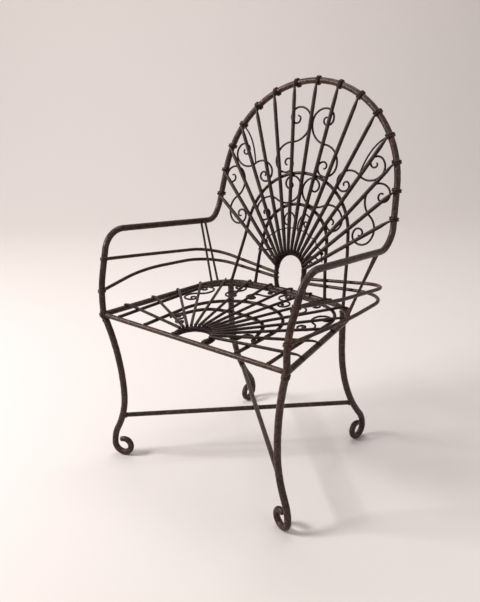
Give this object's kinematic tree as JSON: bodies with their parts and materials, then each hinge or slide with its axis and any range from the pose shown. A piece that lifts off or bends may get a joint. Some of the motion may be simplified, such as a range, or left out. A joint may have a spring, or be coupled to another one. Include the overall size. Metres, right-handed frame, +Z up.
{
  "type": "garden armchair",
  "caption": "Open wrought-iron garden armchair: spoked seat and round spoked back with wire scrolls, rod arms, curled feet and crossed stretchers.",
  "frame": {"origin": "on the floor under the middle of the chair's bounding box", "axes": "+Z up, -Y the way the sitter faces, +X to the sitter's left-hand side as the chair faces -Y; symmetric about the YZ plane apart from the crossed stretchers"},
  "size_m": [0.6804, 0.595, 1.0147],
  "materials": {
    "frame_iron": "satin dark bronze-brown paint over hand-bent iron rod",
    "grille_iron": "satin dark bronze-brown paint, lightly worn",
    "wire_iron": "satin dark bronze-brown paint on thin wire"
  },
  "bodies": {
    "root": {"arm_and_back_hoop": "frame_iron", "back_hub": "grille_iron", "back_inner_arch": "grille_iron", "back_mid_arch": "grille_iron", "back_scrolls": "wire_iron", "back_spoke_01": "grille_iron", "back_spoke_02": "grille_iron", "back_spoke_03": "grille_iron", "back_spoke_04": "grille_iron", "back_spoke_05": "grille_iron", "back_spoke_06": "grille_iron", "back_spoke_07": "grille_iron", "back_spoke_08": "grille_iron", "back_spoke_09": "grille_iron", "back_spoke_10": "grille_iron", "back_spoke_11": "grille_iron", "back_spoke_12": "grille_iron", "back_spoke_13": "grille_iron", "back_spoke_14": "grille_iron", "back_spoke_15": "grille_iron", "front_left_leg": "frame_iron", "front_right_leg": "frame_iron", "left_arm_struts": "wire_iron", "left_lower_arm_rail": "wire_iron", "left_upper_arm_rail": "wire_iron", "lower_stretcher": "frame_iron", "rear_left_leg": "frame_iron", "rear_right_leg": "frame_iron", "right_arm_struts": "wire_iron", "right_lower_arm_rail": "wire_iron", "right_upper_arm_rail": "wire_iron", "seat_front_rail": "frame_iron", "seat_hub": "grille_iron", "seat_inner_arch": "grille_iron", "seat_mid_arch": "grille_iron", "seat_outer_arch": "grille_iron", "seat_rim": "frame_iron", "seat_spoke_01": "grille_iron", "seat_spoke_02": "grille_iron", "seat_spoke_03": "grille_iron", "seat_spoke_04": "grille_iron", "seat_spoke_05": "grille_iron", "seat_spoke_06": "grille_iron", "seat_spoke_07": "grille_iron", "seat_spoke_08": "grille_iron", "seat_spoke_09": "grille_iron", "seat_spoke_10": "grille_iron", "seat_spoke_11": "grille_iron", "seat_spoke_12": "grille_iron", "seat_spoke_13": "grille_iron", "seat_spoke_14": "grille_iron", "seat_spoke_15": "grille_iron", "upper_stretcher": "frame_iron"}
  },
  "joints": []
}
